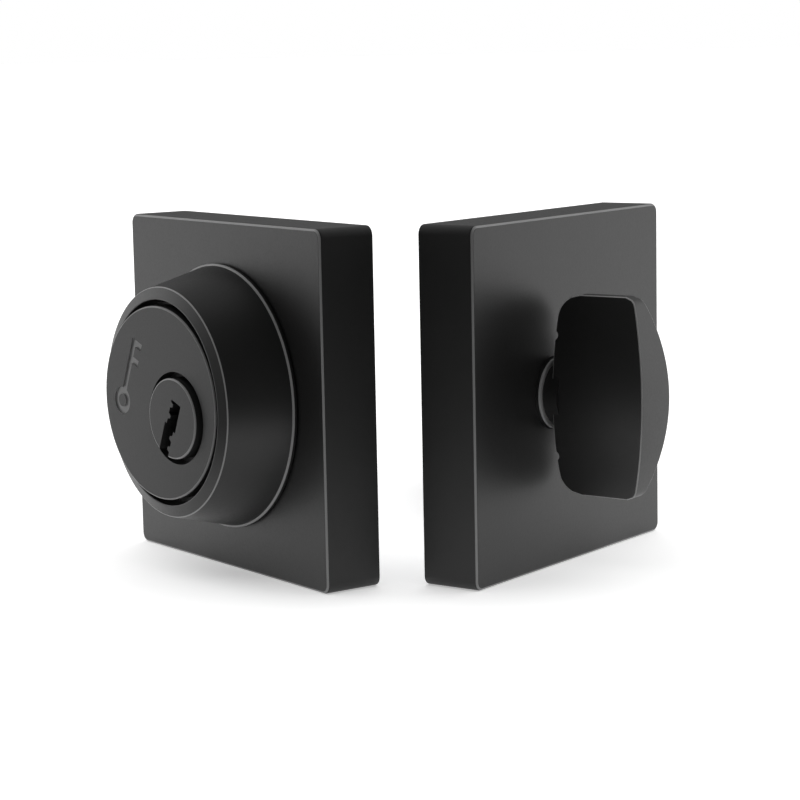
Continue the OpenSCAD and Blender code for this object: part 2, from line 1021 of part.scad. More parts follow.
module strike_plate() {
  color("#26262a")
    at_strike()
      difference() {
        translate([0, 0, dust_h])
          linear_extrude(strike_t)
            soft_square(strike_w, strike_l, 3);
        translate([0, 0, dust_h - 1])
          linear_extrude(strike_t + 2)
            soft_square(bolt_w + 3, bolt_h + 6, 2);
        for (s = [-1, 1])
          translate([0, s * strike_pitch / 2, dust_h + strike_t])
            rotate([90, 0, 0])
              sunk_hole(4.4, 7, -strike_t, 0);
      }
}

module dust_box() {
  rim = 2;
  color("#3c3c40")
    at_strike()
      difference() {
        union() {
          linear_extrude(dust_h)
            soft_square(dust_w, dust_l, 2);
          translate([0, 0, dust_h - rim])
            linear_extrude(rim)
              soft_square(dust_w + 3, dust_l + 3, 2);
        }
        translate([0, 0, dust_wall])
          linear_extrude(dust_h)
            soft_square(dust_w - 2 * dust_wall, dust_l - 2 * dust_wall, 1);
      }
}

module strike_screws() {
  color("#a9acb0")
    at_strike()
      for (s = [-1, 1])
        translate([0, s * strike_pitch / 2, dust_h + strike_t - 0.1])
          rotate([90, 0, 0])
            wood_screw(4.1, 6.6, dust_h + strike_t - 0.6);
}

// ---------- loose fixings on the surface ----------

module torque_blade() {
  color("#a9acb0")
    at_middle()
      translate([47, 50, floor_z])
        span([-blade_w / 2, 0, 0], [blade_w / 2, blade_l, blade_t]);
}

// one mounting screw lying on the surface, head towards the viewer
module mounting_screw() {
  head_d5 = 9;
  head_l = 3;
  shank = 4;
  translate([0, 0, floor_z + head_d5 / 2])
    difference() {
      union() {
        ycone(head_d5 - 2, head_d5, 0, 1);
        ybar(head_d5, 1 - eps, head_l);
        ybar(shank, head_l - eps, head_l + screw_l - 0.6);
        ycone(shank, shank - 1.2, head_l + screw_l - 0.6 - eps, head_l + screw_l);
      }
      for (a = [0, 90])
        rotate([0, a, 0])
          span([-2.2, -1, -0.5], [2.2, 1.8, 0.5]);
    }
}

module mounting_screws() {
  color("#a9acb0")
    at_middle()
      for (x = [-49, -11])
        translate([x, 54, 0])
          mounting_screw();
}

// ---------- what is drawn ----------

outer_rosette();
outer_plate();
plate_screws();
collar();
collar_washer();
cylinder_body();
cylinder_clip();
chamber_cover();
driver_pins();
pin_springs();
plug();
key_pins();
tail_cam();
cam_screws();
inner_rosette();
inner_plate();
set_screw();
turn_bushing();
thumbturn();
wave_washer();
turn_clip();
turn_hub();
latch_faceplate();
latch_backing();
latch_tube();
case_left();
case_right();
case_rivets();
latch_cam();
bolt();
bolt_roller();
bolt_carrier();
carrier_pin();
face_screws();
strike_plate();
dust_box();
strike_screws();
torque_blade();
mounting_screws();
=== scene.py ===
import json
import math

import bmesh
import bpy
from mathutils import Matrix, Vector


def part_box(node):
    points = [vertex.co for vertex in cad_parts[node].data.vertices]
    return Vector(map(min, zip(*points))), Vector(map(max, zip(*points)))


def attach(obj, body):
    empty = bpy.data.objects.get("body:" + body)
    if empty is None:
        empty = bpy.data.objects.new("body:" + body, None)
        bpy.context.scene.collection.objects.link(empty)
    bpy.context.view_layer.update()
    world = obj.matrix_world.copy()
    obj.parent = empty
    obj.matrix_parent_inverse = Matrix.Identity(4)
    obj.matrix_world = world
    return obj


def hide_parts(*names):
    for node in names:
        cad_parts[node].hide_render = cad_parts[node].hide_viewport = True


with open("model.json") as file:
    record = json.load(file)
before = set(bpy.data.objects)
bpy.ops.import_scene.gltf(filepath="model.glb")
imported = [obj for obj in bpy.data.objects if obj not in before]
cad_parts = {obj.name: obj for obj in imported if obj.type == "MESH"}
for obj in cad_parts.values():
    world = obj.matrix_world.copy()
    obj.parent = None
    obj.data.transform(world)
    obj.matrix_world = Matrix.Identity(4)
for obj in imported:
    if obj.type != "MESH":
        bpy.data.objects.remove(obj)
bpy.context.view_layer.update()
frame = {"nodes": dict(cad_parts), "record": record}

MM = 0.001
TURN = 2 * math.pi

# ---------- where things are, from the frame ----------


def stated(rows, name):
    """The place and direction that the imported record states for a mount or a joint."""
    row = next(row for row in rows if row["name"] == name)
    return Vector(row.get("pos_m", (0, 0, 0))), Vector(row["axis"]).normalized()


def mount(name):
    return stated(frame["record"]["mounts"], name)


def joint(name):
    return stated(frame["record"]["behaviour"]["joints"], name)


def size(node):
    low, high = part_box(node)
    return Vector(high) - Vector(low)


FLOOR_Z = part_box("outer_rosette")[0][2]
ROSE_W = size("outer_rosette").x
ROSE_T = size("outer_rosette").y
FRONT_Y = -ROSE_T

inner_axis = joint("thumbturn_turn")[1]
inner_turn = Matrix.Rotation(math.atan2(-inner_axis.x, inner_axis.y), 4, "Z")
turn_at = joint("thumbturn_turn")[0]
TURN_OFFSET = 6 * MM
inner_at = turn_at + inner_turn @ Vector((TURN_OFFSET, 0, 0))
INNER = Matrix.Translation(inner_at) @ inner_turn
THUMB = Matrix.Translation(turn_at) @ inner_turn
core_at, core_axis = mount("cylinder_screws")
plug_at = joint("plug_turn")[0]
core_lean = Matrix.Rotation(math.atan2(-core_axis.x, core_axis.y), 4, "Z")
plug_off = core_lean.inverted() @ (plug_at - core_at)
core_turn = core_lean @ Matrix.Rotation(math.atan2(-plug_off.x, -plug_off.z), 4, "Y")
CORE = Matrix.Translation(core_at) @ core_turn
PLUG = Matrix.Translation(plug_at) @ core_turn
STAND = Matrix.Identity(4)

# ---------- mesh helpers ----------


def shape(name, bm, place, body, slot, *nodes, sharp=32):
    """Turns a bmesh into a finished piece: placed in the row frame, smooth but for its sharp edges."""
    bmesh.ops.transform(bm, matrix=place, verts=bm.verts)
    bmesh.ops.recalc_face_normals(bm, faces=bm.faces)
    mesh = bpy.data.meshes.new(name)
    bm.to_mesh(mesh)
    bm.free()
    obj = bpy.data.objects.new(name, mesh)
    bpy.context.collection.objects.link(obj)
    finish_shading(obj, sharp)
    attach(obj, body)
    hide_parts(*nodes)
    return obj


def finish_shading(obj, sharp):
    """Smooths a piece, but keeps the edges that turn by more than the sharp angle."""
    bm = bmesh.new()
    bm.from_mesh(obj.data)
    for face in bm.faces:
        face.smooth = True
    for edge in bm.edges:
        if len(edge.link_faces) == 2:
            edge.smooth = edge.calc_face_angle() < math.radians(sharp)
    bm.to_mesh(obj.data)
    bm.free()
    even = obj.modifiers.new("even_shading", "WEIGHTED_NORMAL")
    even.keep_sharp = True
    even.weight = 100


def lathe(profile, steps=96, closed=True):
    """Spins an outline of (radius, y) points in millimetres about the Y axis."""
    bm = bmesh.new()
    verts = [bm.verts.new((r * MM, y * MM, 0)) for r, y in profile]
    edges = [bm.edges.new(pair) for pair in zip(verts, verts[1:])]
    if closed:
        edges.append(bm.edges.new((verts[-1], verts[0])))
    bmesh.ops.spin(bm, geom=verts + edges, cent=(0, 0, 0), axis=(0, 1, 0), angle=TURN,
                   steps=steps, use_merge=True)
    bmesh.ops.remove_doubles(bm, verts=bm.verts, dist=1e-6)
    return bm


def rounded(points, radii, steps=4):
    """The outline with each corner of a given radius replaced by a short arc."""
    out = []
    count = len(points)
    for i, (p, radius) in enumerate(zip(points, radii)):
        here = Vector(p)
        if radius <= 0:
            out.append(tuple(here))
            continue
        before = Vector(points[i - 1]) - here
        after = Vector(points[(i + 1) % count]) - here
        angle = before.angle(after)
        reach = radius / math.tan(angle / 2)
        middle = here + (before.normalized() + after.normalized()).normalized() * (
            radius / math.sin(angle / 2))
        start = here + before.normalized() * reach - middle
        end = here + after.normalized() * reach - middle
        for k in range(steps + 1):
            mix = start.lerp(end, k / steps).normalized() * radius
            out.append(tuple(middle + mix))
    return out


def moved(x, y, z):
    """A shift given in millimetres."""
    return Matrix.Translation((x * MM, y * MM, z * MM))


def quarter(degrees, axis):
    return Matrix.Rotation(math.radians(degrees), 4, axis)


def rod(radius, length, place, steps=32, end=None):
    """A round rod, or a cone when its end has another radius, along its own Z, in millimetres."""
    bm = bmesh.new()
    far = radius if end is None else end
    bmesh.ops.create_cone(bm, cap_ends=True, segments=steps, radius1=radius * MM,
                          radius2=far * MM, depth=length * MM, matrix=place)
    return bm


def bar(radius, y0, y1, at=(0, 0), steps=64):
    """A round bar along Y, in millimetres."""
    place = moved(at[0], (y0 + y1) / 2, at[1]) @ quarter(-90, "X")
    return rod(radius, y1 - y0, place, steps)


def block(low, high):
    """A box between two corners, in millimetres."""
    bm = bmesh.new()
    low, high = Vector(low) * MM, Vector(high) * MM
    place = Matrix.Translation((low + high) / 2) @ Matrix.Diagonal((*(high - low), 1))
    bmesh.ops.create_cube(bm, size=1, matrix=place)
    return bm


def cut(bm, tools):
    """Takes the tool shapes away from a bmesh and gives back the rest."""
    return combine(bm, tools, "DIFFERENCE")


def combine(bm, tools, operation):
    """Joins, cuts or intersects a bmesh with the tool shapes; finish numbers 0 and 1 stay."""
    base_mesh = bpy.data.meshes.new("base_shape")
    base_mesh.materials.append(None)
    base_mesh.materials.append(None)
    bmesh.ops.recalc_face_normals(bm, faces=bm.faces)
    bm.to_mesh(base_mesh)
    bm.free()
    base = bpy.data.objects.new("base_shape", base_mesh)
    bpy.context.collection.objects.link(base)
    made = []
    for tool in tools:
        mesh = bpy.data.meshes.new("tool_shape")
        bmesh.ops.recalc_face_normals(tool, faces=tool.faces)
        tool.to_mesh(mesh)
        tool.free()
        obj = bpy.data.objects.new("tool_shape", mesh)
        bpy.context.collection.objects.link(obj)
        made.append(obj)
        step = base.modifiers.new("step", "BOOLEAN")
        step.operation = operation
        step.solver = "EXACT"
        step.object = obj
    bpy.context.view_layer.update()
    graph = bpy.context.evaluated_depsgraph_get()
    result = bmesh.new()
    result.from_mesh(base.evaluated_get(graph).to_mesh())
    base.evaluated_get(graph).to_mesh_clear()
    for obj in made + [base]:
        mesh = obj.data
        bpy.data.objects.remove(obj)
        bpy.data.meshes.remove(mesh)
    bmesh.ops.remove_doubles(result, verts=result.verts, dist=1e-7)
    return result


def prism(points, y0, y1):
    """A flat outline of (x, z) points pushed along Y, in millimetres."""
    bm = bmesh.new()
    face = bm.faces.new([bm.verts.new((x * MM, y0 * MM, z * MM)) for x, z in points])
    grown = bmesh.ops.extrude_face_region(bm, geom=[face])
    pushed = [v for v in grown["geom"] if isinstance(v, bmesh.types.BMVert)]
    bmesh.ops.translate(bm, vec=(0, (y1 - y0) * MM, 0), verts=pushed)
    return bm


def bevel(bm, edges, radius, segments):
    """Rounds edges by a radius in millimetres and gives back the new faces."""
    made = bmesh.ops.bevel(bm, geom=edges, offset=radius * MM, offset_type="OFFSET",
                           affect="EDGES", segments=segments, profile=0.5, material=-1,
                           clamp_overlap=True)
    return made["faces"]


def mark(bm, test):
    """Gives the second finish to each face whose centre passes (radius, x, y, z in millimetres); on
    most pieces that finish is a lighter grey painted on as an edge highlight.
    """
    for face in bm.faces:
        c = face.calc_center_median() / MM
        if test(math.hypot(c.x, c.z), c.x, c.y, c.z):
            face.material_index = 1


# ---------- materials ----------


def ramp(nodes, links, value, span, levels, smooth=True):
    """Maps the span of a value onto two levels."""
    node = nodes.new("ShaderNodeMapRange")
    if smooth:
        node.interpolation_type = "SMOOTHSTEP"
    for label, number in zip(("From Min", "From Max", "To Min", "To Max"), (*span, *levels)):
        node.inputs[label].default_value = number
    links.new(value, node.inputs["Value"])
    return node.outputs["Result"]


def group(name, inputs, outputs):
    """An empty node group with number sockets, and its two end nodes."""
    tree = bpy.data.node_groups.new(name, "ShaderNodeTree")
    for label, value in inputs:
        socket = tree.interface.new_socket(label, in_out="INPUT", socket_type="NodeSocketFloat")
        socket.default_value = value
    for label in outputs:
        tree.interface.new_socket(label, in_out="OUTPUT", socket_type="NodeSocketFloat")
    return tree, tree.nodes.new("NodeGroupInput"), tree.nodes.new("NodeGroupOutput")


def grain_group():
    """Fine powder-coat grain with slow, faint cloudiness."""
    tree, gin, gout = group("coat_grain", [("Fine", 2600.0), ("Broad", 60.0)],
                            ["Height", "Cloud"])
    coords = tree.nodes.new("ShaderNodeTexCoord")
    fine = tree.nodes.new("ShaderNodeTexNoise")
    fine.inputs["Detail"].default_value = 3
    fine.inputs["Roughness"].default_value = 0.6
    broad = tree.nodes.new("ShaderNodeTexNoise")
    broad.inputs["Detail"].default_value = 2
    for node, label in ((fine, "Fine"), (broad, "Broad")):
        tree.links.new(coords.outputs["Object"], node.inputs["Vector"])
        tree.links.new(gin.outputs[label], node.inputs["Scale"])
    tree.links.new(fine.outputs["Fac"], gout.inputs["Height"])
    tree.links.new(broad.outputs["Fac"], gout.inputs["Cloud"])
    return tree


GRAIN = grain_group()
GRAIN_SPAN = (0.3, 0.7)


def material(name, dark, light, rough, relief, metallic=0.0, fine=2600.0, broad=60.0,
             depth=0.02):
    """A finish whose colour, roughness and relief all come from the shared grain."""
    mat = bpy.data.materials.new(name)
    mat.use_nodes = True
    nodes, links = mat.node_tree.nodes, mat.node_tree.links
    shader = nodes["Principled BSDF"]
    shader.inputs["Metallic"].default_value = metallic
    grain = nodes.new("ShaderNodeGroup")
    grain.node_tree = GRAIN
    grain.inputs["Fine"].default_value = fine
    grain.inputs["Broad"].default_value = broad
    tint = nodes.new("ShaderNodeMix")
    tint.data_type = "RGBA"
    tint.inputs["A"].default_value = (*dark, 1)
    tint.inputs["B"].default_value = (*light, 1)
    links.new(grain.outputs["Cloud"], tint.inputs["Factor"])
    links.new(tint.outputs["Result"], shader.inputs["Base Color"])
    spread = ramp(nodes, links, grain.outputs["Height"], GRAIN_SPAN, rough, smooth=False)
    links.new(spread, shader.inputs["Roughness"])
    bump = nodes.new("ShaderNodeBump")
    bump.inputs["Strength"].default_value = relief
    bump.inputs["Distance"].default_value = depth * MM
    links.new(grain.outputs["Height"], bump.inputs["Height"])
    links.new(bump.outputs["Normal"], shader.inputs["Normal"])
    return mat


def grey(level):
    return (level, level, level)


SATIN_BLACK = material("satin_black_coat", grey(0.011), grey(0.016), (0.36, 0.44),
                       fine=2200, depth=0.03, relief=0.35)
FACE_BLACK = material("cylinder_face_black", grey(0.014), grey(0.019), (0.40, 0.48),
                      fine=3000, depth=0.03, relief=0.35)
# Darker black for the keyway's walls: painted shade in the recess.
KEYWAY_PAINTED_SHADE = material("keyway_painted_shade", grey(0.006), grey(0.010), (0.5, 0.6), relief=0.3)
STEEL = material("zinc_plated_steel", (0.42, 0.43, 0.45), (0.60, 0.61, 0.63), (0.26, 0.38),
                 metallic=1.0, fine=900, broad=180, relief=0.08)
BRIGHT = material("nickel_bolt", (0.55, 0.55, 0.56), (0.70, 0.70, 0.71), (0.20, 0.30),
                  metallic=1.0, fine=900, broad=120, depth=0.01, relief=0.06)
HARD = material("hardened_steel", (0.16, 0.16, 0.17), (0.24, 0.24, 0.25), (0.30, 0.42),
                metallic=1.0, fine=1000, broad=200, relief=0.1)
BRASS = material("turned_brass", (0.62, 0.44, 0.18), (0.74, 0.56, 0.27), (0.24, 0.34),
                 metallic=1.0, fine=1000, broad=220, relief=0.1)
WASHER = material("dark_nylon_washer", grey(0.008), grey(0.014), (0.55, 0.65), fine=1500,
                  relief=0.3)
# Lighter grey for rounded edges: a painted edge highlight.
PAINTED_EDGE_HIGHLIGHT = material("painted_edge_highlight", grey(0.20), grey(0.28), (0.30, 0.38), fine=1800, depth=0.01, relief=0.2)
# Grey for the key sign, and also a painted highlight on the cylinder face's rim.
SIGN_AND_RIM_HIGHLIGHT = material("sign_grey_and_painted_rim_highlight", grey(0.16), grey(0.22), (0.34, 0.42), fine=1800, depth=0.01,
                relief=0.2)
PLASTIC = material("moulded_black_plastic", grey(0.018), grey(0.030), (0.50, 0.62),
                   fine=1300, broad=140, depth=0.05, relief=0.4)


def paint(obj, *mats):
    """Gives a piece its finishes; a piece without any keeps its faces' finish numbers."""
    if obj.data.materials:
        obj.data.materials.clear()
    for mat in mats:
        obj.data.materials.append(mat)


# ---------- outside half ----------

THICK = ROSE_T / MM
WIDE = ROSE_W / MM
EDGE_R = 0.6
CORNER_R = 1.8
WALL = 2.0
FRONT = 2.5
LEDGE_R = 17.0
COLLAR_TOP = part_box("collar")[0][1] / MM
COLLAR_RISE = 13.0
COLLAR_RIM_R = 21.55
COLLAR_MOUTH_R = 19.15
COLLAR_SEAT = 9.7
COLLAR_GAP = 0.1
HEAD_PROUD = 0.65
HEAD_R = 18.1
HEAD_T = 3.0
FACE_EDGE = 0.3
BODY_R = 15.8
BODY_BACK = 9.0
FACE_Y = COLLAR_TOP - HEAD_PROUD
PLUG_Y = FACE_Y - 1.0
FLANGE_R = 7.5
FLANGE_SINK = 2.4
PLUG_R = 6.9
BORE_R = 2.1
BORE_DEEP = 22
BORE_APART = 21
CLIP_AT = 1.18
CLIP_R = 17


def upright_edges(bm):
    return [e for e in bm.edges if abs(e.verts[0].co.y - e.verts[1].co.y) > THICK / 2 * MM]


def rosette_block():
    """A square plate with rounded corners and a rounded front edge, hollow at the back."""
    bm = block((-WIDE / 2, -THICK, -WIDE / 2), (WIDE / 2, 0, WIDE / 2))
    bevel(bm, upright_edges(bm), CORNER_R, 8)
    front = [e for e in bm.edges if all(abs(v.co.y + THICK * MM) < 1e-6 for v in e.verts)]
    # The middle strips of the front edge's rounding get the second finish: a painted edge highlight.
    for face in bevel(bm, front, EDGE_R, 6):
        face.normal_update()
        if 0.45 < abs(face.normal.y) < 0.95:
            face.material_index = 1
    inner = WIDE / 2 - WALL
    hollow = block((-inner, FRONT - THICK, -inner), (inner, 1, inner))
    bevel(hollow, upright_edges(hollow), CORNER_R - 1, 4)
    return cut(bm, [hollow])


def build_outer_rosette():
    bm = cut(rosette_block(), [bar(LEDGE_R, -THICK - 1, 1, steps=96)])
    obj = shape("outer_rose", bm, STAND, "base", "black_coat", "outer_rosette")
    paint(obj, SATIN_BLACK, PAINTED_EDGE_HIGHLIGHT)


def build_collar():
    low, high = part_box("collar")
    base_r = (high[0] - low[0]) / 2 / MM
    top_y = low[1] / MM
    foot_y = high[1] / MM
    rim_y = -THICK - COLLAR_RISE
    bore_r = LEDGE_R + COLLAR_GAP
    outline = [
        (bore_r, foot_y),
        (base_r, foot_y),
        (base_r, -THICK - 0.95),
        (base_r - 0.4, -THICK - 1.15),
        (COLLAR_RIM_R, rim_y),
        (COLLAR_MOUTH_R, top_y),
        (COLLAR_MOUTH_R, -THICK - COLLAR_SEAT),
        (bore_r, -THICK - COLLAR_SEAT),
    ]
    radii = [0.1, 0.25, 0.2, 0.1, 0.3, 0.25, 0, 0]
    bm = lathe(rounded(outline, radii), 160)
    # The base flange's outer edge and the rim crest get the second finish: painted highlight lines.
    mark(bm, lambda r, x, y, z: (r > base_r - 0.3 and y < -THICK - 0.7)
         or (r > COLLAR_RIM_R - 0.35 and abs(y - rim_y - 0.05) < 0.2))
    obj = shape("collar_ring", bm, STAND, "collar", "black_coat", "collar")
    paint(obj, SATIN_BLACK, PAINTED_EDGE_HIGHLIGHT)


SIGN_Z = 11.2
SIGN_DEEP = 0.3
SIGN_STROKE = 1.4
SIGN_RING_R = 2.6
SIGN_RING_X = -5.2
SIGN_END_X = 7.8
SIGN_TEETH_X = (3, 6.4)
SIGN_TOOTH = 2.6


def sign_tools(y):
    """A small key sign, cut into the face: a ring, a shaft and two teeth."""
    low, high = y - 1, y + SIGN_DEEP
    half = SIGN_STROKE / 2
    middle_at = (SIGN_RING_X, SIGN_Z)
    ring = cut(bar(SIGN_RING_R, low, high, middle_at),
               [bar(SIGN_RING_R - SIGN_STROKE, low - 1, y + 1, middle_at)])
    shaft_x = SIGN_RING_X + SIGN_RING_R - 0.2
    tools = [ring, block((shaft_x, low, SIGN_Z - half), (SIGN_END_X, high, SIGN_Z + half))]
    for x in SIGN_TEETH_X:
        tools.append(block((x, low, SIGN_Z - SIGN_TOOTH), (x + SIGN_STROKE, high, SIGN_Z - 0.3)))
    return tools


def build_cylinder():
    outline = [
        (0, FACE_Y), (HEAD_R, FACE_Y), (HEAD_R, FACE_Y + HEAD_T), (BODY_R, FACE_Y + HEAD_T),
        (BODY_R, BODY_BACK), (0, BODY_BACK),
    ]
    radii = [0, FACE_EDGE, 0.1, 0, 0.4, 0]
    bm = lathe(rounded(outline, radii), 160, closed=False)
    # The face's rounded rim gets the second finish, the sign grey, as a painted rim highlight.
    mark(bm, lambda r, x, y, z: r > HEAD_R - FACE_EDGE and y < FACE_Y + FACE_EDGE - 0.02)
    plug_z = -plug_off.xz.length / MM
    bore_x = BORE_APART / 2
    tools = [
        bar(FLANGE_R + 1.1, FACE_Y - 1, FACE_Y + FLANGE_SINK + 0.1, (0, plug_z), 96),
        bar(PLUG_R + 0.05, FACE_Y - 1, BODY_BACK + 1, (0, plug_z), 96),
        bar(BORE_R, BODY_BACK - BORE_DEEP, BODY_BACK + 1, (bore_x, 0), 32),
        bar(BORE_R, BODY_BACK - BORE_DEEP, BODY_BACK + 1, (-bore_x, 0), 32),
        cut(bar(CLIP_R, CLIP_AT - 0.05, CLIP_AT + 1.15), [bar(BODY_R - 1.1, -1, 4)]),
    ]
    bm = cut(bm, tools + sign_tools(FACE_Y))
    mark(bm, lambda r, x, y, z: r < HEAD_R - 2 and z > 7 and 0.02 < y - FACE_Y < 0.4)
    obj = shape("cylinder_core", bm, CORE, "base", "black_coat", "cylinder_body", sharp=40)
    paint(obj, FACE_BLACK, SIGN_AND_RIM_HIGHLIGHT)


def keyway_outline():
    """The keyway's stepped outline, with two teeth on each side."""
    half, mid, shift, tooth = 1.5, -1.8, 0.3, 0.7
    right, left = mid + 5.25, -FLANGE_R - 0.3
    upper, lower = half - shift, -half - shift
    points = [(left, half + shift), (mid + 0.3, half + shift), (mid + 0.3, upper)]
    for x in (1.3, 3.6):
        points += [(mid + x, upper), (mid + x + 0.3, upper - tooth), (mid + x + 0.9, upper - tooth),
                   (mid + x + 1.2, upper)]
    points += [(right, upper), (right, lower), (mid - 0.3, lower), (mid - 0.3, -half + shift)]
    for x in (1.2, 3.4):
        points += [(mid - x, -half + shift), (mid - x - 0.3, -half + shift + tooth),
                   (mid - x - 0.9, -half + shift + tooth), (mid - x - 1.2, -half + shift)]
    points.append((left, -half + shift))
    return points


def build_plug():
    end_y = BODY_BACK + 0.2
    outline = [
        (0, PLUG_Y), (FLANGE_R, PLUG_Y), (FLANGE_R, FACE_Y + FLANGE_SINK),
        (PLUG_R, FACE_Y + FLANGE_SINK), (PLUG_R, end_y), (0, end_y),
    ]
    radii = [0, FACE_EDGE, 0.05, 0, 0.2, 0]
    bm = lathe(rounded(outline, radii), 96, closed=False)
    # The flange's rounded edge gets the second finish: a painted edge highlight.
    mark(bm, lambda r, x, y, z: r > FLANGE_R - FACE_EDGE and y < PLUG_Y + FACE_EDGE - 0.02)
    bm = cut(bm, [prism(keyway_outline(), PLUG_Y - 1, end_y - 3)])
    # The keyway's walls get the third finish, a darker black: painted shade inside the keyway.
    for face in bm.faces:
        c = face.calc_center_median() / MM
        if math.hypot(c.x, c.z) < PLUG_R - 0.2 and PLUG_Y + 0.05 < c.y < end_y - 0.5:
            face.material_index = 2
    obj = shape("key_plug", bm, PLUG, "plug", "black_coat", "plug", sharp=40)
    paint(obj, FACE_BLACK, PAINTED_EDGE_HIGHLIGHT, KEYWAY_PAINTED_SHADE)


# ---------- inside half ----------


SET_SCREW_Y = -5.35
SET_SCREW_R = 1.7
BUSHING_HOLE_R = 6.9


def build_inner_rosette():
    hole_x = -TURN_OFFSET / MM
    screw = rod(SET_SCREW_R, 6, moved(0, SET_SCREW_Y, -WIDE / 2))
    bm = cut(rosette_block(), [bar(BUSHING_HOLE_R, -THICK - 1, 1, (hole_x, 0)), screw])
    obj = shape("inner_rose", bm, INNER, "base", "black_coat", "inner_rosette")
    paint(obj, SATIN_BLACK, PAINTED_EDGE_HIGHLIGHT)


def build_bushing():
    outline = [
        (4.8, -THICK - 1), (6.8, -THICK - 1), (6.8, -THICK + 2.5), (9, -THICK + 2.5),
        (9, -THICK + 3.7), (4.8, -THICK + 3.7),
    ]
    radii = [0.15, 0.35, 0, 0.15, 0.15, 0.1]
    bm = lathe(rounded(outline, radii), 96)
    # The front of the boss gets the second finish: a painted highlight.
    mark(bm, lambda r, x, y, z: y < -THICK - 0.6)
    obj = shape("turn_boss", bm, THUMB, "base", "dark_plastic", "turn_bushing")
    paint(obj, SATIN_BLACK, PAINTED_EDGE_HIGHLIGHT)


GRIP_H = size("thumbturn").z / MM
GRIP_MID = 10.1
GRIP_TIP = 2.8
GRIP_LIFT = 2.6
GRIP_OUT = 17.9
GRIP_CROWN = 3.8
GRIP_EDGE = 0.25
GRIP_SOFT = 1.6
GRIP_BACK_R = 4.0
GRIP_ROWS = 72
GRIP_LAYERS = 16
NOTCH_R = 0.9
NOTCH_SINK = 0.3
NOTCH_AT = 0.6


def build_grip():
    """A lens-shaped grip: a finely divided block whose rows are moved out to the grip's outline."""
    half = GRIP_H / 2
    bm = block((-1, 0, -1), (1, 1, 1))
    for v in bm.verts:
        v.co /= MM
    tall = [e for e in bm.edges if abs(e.verts[0].co.z - e.verts[1].co.z) > 1]
    bmesh.ops.subdivide_edges(bm, edges=tall, cuts=GRIP_ROWS - 1, use_grid_fill=True)
    deep = [e for e in bm.edges if abs(e.verts[0].co.y - e.verts[1].co.y) > 0.5]
    bmesh.ops.subdivide_edges(bm, edges=deep, cuts=GRIP_LAYERS - 1, use_grid_fill=True)
    side_r = (half * half + ((GRIP_MID - GRIP_TIP) / 2) ** 2) / (GRIP_MID - GRIP_TIP)
    crown_r = (half * half + GRIP_CROWN * GRIP_CROWN) / (2 * GRIP_CROWN)
    for v in bm.verts:
        z = v.co.z * half
        thick = math.sqrt(side_r * side_r - z * z) - (side_r - GRIP_MID / 2)
        out = GRIP_OUT + GRIP_CROWN - crown_r + math.sqrt(crown_r * crown_r - z * z)
        end = max(0.0, abs(z) - (half - GRIP_SOFT))
        out -= GRIP_SOFT - math.sqrt(max(0.0, GRIP_SOFT * GRIP_SOFT - end * end))
        corner = max(0.0, abs(z) - (half - GRIP_BACK_R))
        lift = GRIP_LIFT + GRIP_BACK_R - math.sqrt(max(0.0, GRIP_BACK_R ** 2 - corner * corner))
        depth = lift + (out - lift) * v.co.y
        v.co = Vector((v.co.x * thick, -THICK - depth, z)) * MM
    bmesh.ops.recalc_face_normals(bm, faces=bm.faces)
    rim = [e for e in bm.edges if len(e.link_faces) == 2 and e.calc_face_angle() > math.radians(35)]
    # The grip's rounded rims get the second finish: a painted edge highlight.
    for face in bevel(bm, rim, GRIP_EDGE, 3):
        face.material_index = 1
    notches = []
    for z in (-1, 1):
        notch = bar(NOTCH_R, -GRIP_MID, GRIP_MID, steps=32)
        place = moved(0, -(THICK + GRIP_LIFT - NOTCH_SINK), z * NOTCH_AT * half) @ quarter(90, "Z")
        bmesh.ops.transform(notch, matrix=place, verts=notch.verts)
        notches.append(notch)
    return cut(bm, notches)


def build_thumbturn():
    groove = -THICK + 5.2
    outline = [
        (0, -THICK - 4), (5.95, -THICK - 4), (5.95, -THICK - 1.1), (4.75, -THICK - 1.1),
        (4.75, groove - 0.05), (3.95, groove - 0.05), (3.95, groove + 0.95), (4.75, groove + 0.95),
        (4.75, 1), (0, 1),
    ]
    shank = lathe(outline, 96, closed=False)
    tenon = block((-2.5, 0.9, -2.5), (2.5, 4, 2.5))
    bm = combine(build_grip(), [shank, tenon], "UNION")
    obj = shape("thumb_grip", bm, THUMB, "thumbturn", "black_coat", "thumbturn", sharp=38)
    paint(obj, SATIN_BLACK, PAINTED_EDGE_HIGHLIGHT)


# ---------- latch and strike ----------

BACKSET = 60.0
HUB_Z = -6.0
PLATE_W, PLATE_H, PLATE_T = 25.4, 57.0, 1.5
PLATE_CORNER = 3
PLATE_EDGE = 0.3
PLATE_SCREW_Z = PLATE_H / 2 - 7.85
SCREW_HOLE_R = 2.2
SCREW_HEAD_R = 3.5
SUNK = SCREW_HEAD_R - SCREW_HOLE_R
BOLT_W = 13.0
BOLT_R = 10.0
BOLT_H = 2 * math.sqrt(BOLT_R ** 2 - (BOLT_W / 2) ** 2)
BOLT_END = 36.2
BOLT_GAP = 0.2
BOLT_TIP = 0.6
TAIL_T, TAIL_L, TAIL_LOW, TAIL_HIGH = 2.5, 5.05, 0.15, 6.05
TAIL_PIN_R, TAIL_PIN_IN, TAIL_PIN_Z = 1.05, 2.5, 3.1
ROLLER_R, ROLLER_IN, ROLLER_TOP = 2.1, 12, 7
STRIKE_W, STRIKE_L, STRIKE_T = 28.0, 70.0, 1.6
STRIKE_SCREW_Z = STRIKE_L / 2 - 7.5

cam_at, cam_axis = joint("latch_cam_turn")
bolt_axis = joint("bolt_slide")[1]
latch_turn = Matrix((-cam_axis, bolt_axis, (-cam_axis).cross(bolt_axis))).transposed().to_4x4()
